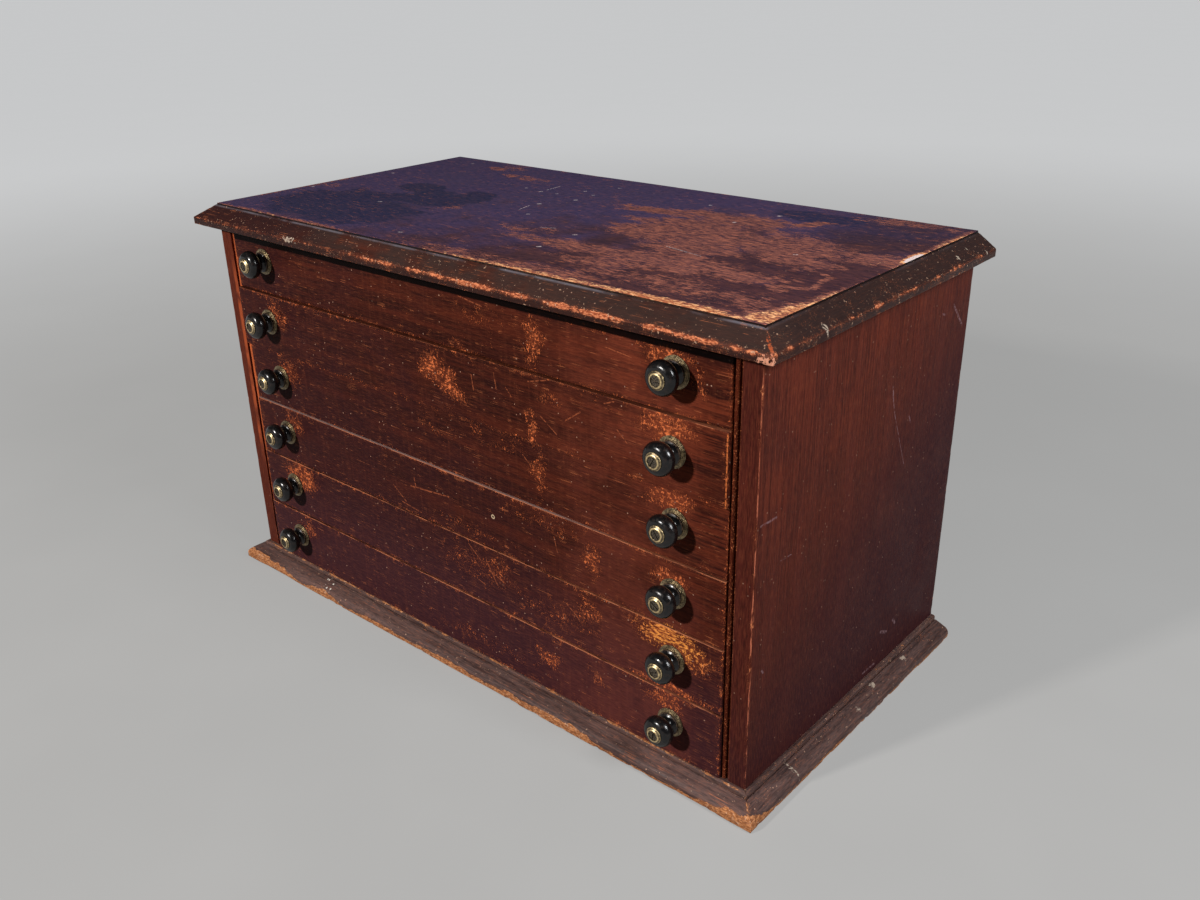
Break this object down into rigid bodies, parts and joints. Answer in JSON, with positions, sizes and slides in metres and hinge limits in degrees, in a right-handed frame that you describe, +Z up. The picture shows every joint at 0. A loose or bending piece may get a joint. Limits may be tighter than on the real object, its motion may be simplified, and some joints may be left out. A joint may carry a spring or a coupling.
{
  "type": "spool cabinet",
  "caption": "Table-top chest of shallow sliding drawers for spools of thread, with divided rows, turned knobs, a bevelled top and a moulded base.",
  "frame": {"origin": "on the floor, at the middle of the footprint of the whole object's box, knobs included", "axes": "+Z up, -Y towards the drawer fronts, +X to the right as one faces them"},
  "size_m": [0.721, 0.3744, 0.4228],
  "materials": {
    "dark_case_wood": "old dark varnish, worn to orange at the edges",
    "red_brown_wood": "crazed red-brown varnish, flaked in places",
    "bare_wood": "unvarnished and dusty",
    "black_wood": "glossy black lacquer",
    "aged_brass": "dull and browned",
    "iron": "lightly rusted"
  },
  "bodies": {
    "case": {"case_side_left": "dark_case_wood", "case_side_right": "dark_case_wood", "case_back": "bare_wood", "top_board": "dark_case_wood", "top_moulding_front": "dark_case_wood", "top_moulding_ends": "dark_case_wood", "base_board": "dark_case_wood", "base_moulding_front": "dark_case_wood", "base_moulding_ends": "dark_case_wood", "bead_strips": "red_brown_wood", "drawer_runners": "bare_wood", "back_nails": "iron"},
    "drawer_1": {"drawer_1_front": "red_brown_wood", "drawer_1_side_left": "bare_wood", "drawer_1_side_right": "bare_wood", "drawer_1_back": "bare_wood", "drawer_1_bottom": "bare_wood", "drawer_1_dividers": "bare_wood", "drawer_1_knobs": "black_wood", "drawer_1_knob_fittings": "aged_brass"},
    "drawer_2": {"drawer_2_front": "red_brown_wood", "drawer_2_side_left": "bare_wood", "drawer_2_side_right": "bare_wood", "drawer_2_back": "bare_wood", "drawer_2_bottom": "bare_wood", "drawer_2_dividers": "bare_wood", "drawer_2_knobs": "black_wood", "drawer_2_knob_fittings": "aged_brass"},
    "drawer_3": {"drawer_3_front": "red_brown_wood", "drawer_3_side_left": "bare_wood", "drawer_3_side_right": "bare_wood", "drawer_3_back": "bare_wood", "drawer_3_bottom": "bare_wood", "drawer_3_dividers": "bare_wood", "drawer_3_knobs": "black_wood", "drawer_3_knob_fittings": "aged_brass"},
    "drawer_4": {"drawer_4_front": "red_brown_wood", "drawer_4_side_left": "bare_wood", "drawer_4_side_right": "bare_wood", "drawer_4_back": "bare_wood", "drawer_4_bottom": "bare_wood", "drawer_4_dividers": "bare_wood", "drawer_4_knobs": "black_wood", "drawer_4_knob_fittings": "aged_brass"},
    "drawer_5": {"drawer_5_front": "red_brown_wood", "drawer_5_side_left": "bare_wood", "drawer_5_side_right": "bare_wood", "drawer_5_back": "bare_wood", "drawer_5_bottom": "bare_wood", "drawer_5_dividers": "bare_wood", "drawer_5_knobs": "black_wood", "drawer_5_knob_fittings": "aged_brass"},
    "drawer_6": {"drawer_6_front": "red_brown_wood", "drawer_6_side_left": "bare_wood", "drawer_6_side_right": "bare_wood", "drawer_6_back": "bare_wood", "drawer_6_bottom": "bare_wood", "drawer_6_dividers": "bare_wood", "drawer_6_knobs": "black_wood", "drawer_6_knob_fittings": "aged_brass"}
  },
  "joints": [
    {"name": "drawer_1_slide", "type": "slide", "parent": "case", "child": "drawer_1", "axis": [0, -1, 0], "range_m": [-0.001, 0.24]},
    {"name": "drawer_2_slide", "type": "slide", "parent": "case", "child": "drawer_2", "axis": [0, -1, 0], "range_m": [-0.0044, 0.24]},
    {"name": "drawer_3_slide", "type": "slide", "parent": "case", "child": "drawer_3", "axis": [0, -1, 0], "range_m": [0, 0.24]},
    {"name": "drawer_4_slide", "type": "slide", "parent": "case", "child": "drawer_4", "axis": [0, -1, 0], "range_m": [-0.0012, 0.24]},
    {"name": "drawer_5_slide", "type": "slide", "parent": "case", "child": "drawer_5", "axis": [0, -1, 0], "range_m": [-0.0018, 0.24]},
    {"name": "drawer_6_slide", "type": "slide", "parent": "case", "child": "drawer_6", "axis": [0, -1, 0], "range_m": [-0.003, 0.24]}
  ]
}
